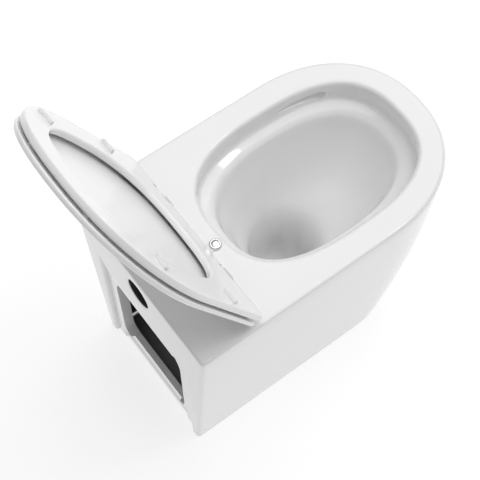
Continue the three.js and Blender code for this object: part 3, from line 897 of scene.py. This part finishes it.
def bumperRow(name, design, level, body, nodes):
    places, angles = [], []
    for across, forward, degrees in design["places"]:
        for sign in (-1, 1):
            local = Matrix.Translation((sign * across, -forward, level)) \
                @ Matrix.Rotation(math.radians(sign * degrees), 4, "Z")
            world = raised @ local
            places.append(world.translation)
            angles.append(world.to_euler("XYZ"))
    piece = meshFrom(name, places, [])
    turn = piece.data.attributes.new("turn", "FLOAT_VECTOR", "POINT")
    turn.data.foreach_set("vector", [value for angle in angles for value in angle])
    spread = piece.modifiers.new("bumpers", "NODES")
    spread.node_group = bumpersOnPoints
    setInputs(spread, {"Size": design["size"], "Softness": 2, "Material": bumperRubber})
    settled(piece)
    smoothed(piece, 60)
    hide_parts(*nodes)
    return finish(piece, body, bumperRubber)


bumperRow("seat_bumpers", seatBumpers, seat["underside"] - seatBumpers["drop"], "seat",
          [f"seat_bumper_{row}_{side}" for row in ("front", "rear")
           for side in ("left", "right")])
bumperRow("lid_bumpers", lidBumpers, lidDesign["underside"] - lidBumpers["drop"], "lid",
          ["lid_bumper_left", "lid_bumper_right"])
print("bumpers made")


edgeRounding = {"bar": 0.0008, "button": 0.0005, "post": 0.0012, "pin": 0.0005,
                "bolt": 0.0004, "nut": 0.0004, "sleeve": 0.0006}

finish(refined("hinge_bar", edgeRounding["bar"]), "pan", barPlastic)
finish(refined("button_bezel", edgeRounding["button"]), "pan", chromePlate)
finish(refined("release_button", edgeRounding["button"]), "button", chromePlate)
for sideName in ("left", "right"):
    finish(refined(f"hinge_post_{sideName}", edgeRounding["post"]), "pan",
           chromePlate)
    finish(refined(f"hinge_pin_{sideName}", edgeRounding["pin"]), "pan",
           brushedSteel)
    finish(refined(f"fixing_bolt_{sideName}", edgeRounding["bolt"]), "pan",
           brushedSteel)
    finish(refined(f"fixing_nut_{sideName}", edgeRounding["nut"]), "pan",
           brushedSteel)
    finish(refined(f"fixing_sleeve_{sideName}", edgeRounding["sleeve"]), "pan",
           sleeveRubber)
print("hinge and fixings made")


studio = {
    "floorColor": (0.4, 0.4, 0.4), "floorGlow": 0.7, "worldStrength": 0.34,
    "keyPower": 72.0, "keySize": 4.2, "keyPlace": (0.25, -0.95, 3.2),
    "glintPower": 5.0, "glintSize": 0.4, "glintPlace": (-0.9, -1.5, 3.1),
    "lightTarget": (0, 0, 0.4), "floorReach": 6,
    "hollowCentre": (0, 0.0425, 0), "hollowReach": (0.135, 0.1925, 1),
}


def paleFloor():
    # Pale all over; it glows a little except under the pan, whose hollow stays dark.
    far = studio["floorReach"]
    floor = meshFrom("floor", [(-far, -far, 0), (far, -far, 0), (far, far, 0),
                               (-far, far, 0)], [(0, 1, 2, 3)])
    material, tree, shader, where = newMaterial("pale_floor", studio["floorColor"], 0.9)
    shifted = nodeIn(tree, "ShaderNodeVectorMath", (-1000, -200), operation="SUBTRACT")
    shifted.inputs[1].default_value = studio["hollowCentre"]
    tree.links.new(where, shifted.inputs[0])
    scaled = nodeIn(tree, "ShaderNodeVectorMath", (-850, -200), operation="DIVIDE")
    scaled.inputs[1].default_value = studio["hollowReach"]
    tree.links.new(shifted.outputs[0], scaled.inputs[0])
    positive = nodeIn(tree, "ShaderNodeVectorMath", (-700, -200), operation="ABSOLUTE")
    tree.links.new(scaled.outputs[0], positive.inputs[0])
    apart = nodeIn(tree, "ShaderNodeSeparateXYZ", (-600, -200))
    tree.links.new(positive.outputs[0], apart.inputs[0])
    reach = mathOf(tree, "MAXIMUM", apart.outputs[0], apart.outputs[1], (-500, -200))
    glow = spanOf(tree, reach, 0.95, 1.0, 0.0, studio["floorGlow"], (-300, -200))
    shader.inputs["Emission Color"].default_value = (1, 1, 1, 1)
    tree.links.new(glow, shader.inputs["Emission Strength"])
    floor.data.materials.append(material)


def softLight(name, place, size, strength):
    light = bpy.data.lights.new(name, "AREA")
    light.shape = "DISK"
    light.size = size
    light.energy = strength
    lamp = bpy.data.objects.new(name, light)
    lamp.location = place
    facing = Vector(studio["lightTarget"]) - Vector(place)
    lamp.rotation_euler = facing.to_track_quat("-Z", "Y").to_euler()
    bpy.context.scene.collection.objects.link(lamp)


paleFloor()
softLight("key_light", studio["keyPlace"], studio["keySize"], studio["keyPower"])
softLight("glint_light", studio["glintPlace"], studio["glintSize"], studio["glintPower"])
world = bpy.data.worlds.new("studio")
world.use_nodes = True
sky = world.node_tree.nodes["Background"]
sky.inputs["Color"].default_value = (1, 1, 1, 1)
sky.inputs["Strength"].default_value = studio["worldStrength"]
bpy.context.scene.world = world
bpy.context.scene.view_settings.view_transform = "Standard"
bpy.context.scene.view_settings.look = "None"

camera = {
    "azimuth": 233.3, "elevation": 62.5, "distance": 1.816, "lens": 85.5,
    "target": (-0.0405, rearY - 0.1745, topZ),
}
azimuth, elevation = math.radians(camera["azimuth"]), math.radians(camera["elevation"])
backwards = Vector((math.sin(azimuth) * math.cos(elevation),
                    -math.cos(azimuth) * math.cos(elevation), math.sin(elevation)))
eye = bpy.data.objects.new("camera", bpy.data.cameras.new("camera"))
eye.data.lens = camera["lens"]
eye.data.sensor_width = 36
eye.location = Vector(camera["target"]) + backwards * camera["distance"]
eye.rotation_euler = backwards.to_track_quat("Z", "Y").to_euler()
bpy.context.scene.collection.objects.link(eye)
bpy.context.scene.camera = eye
print("studio set")
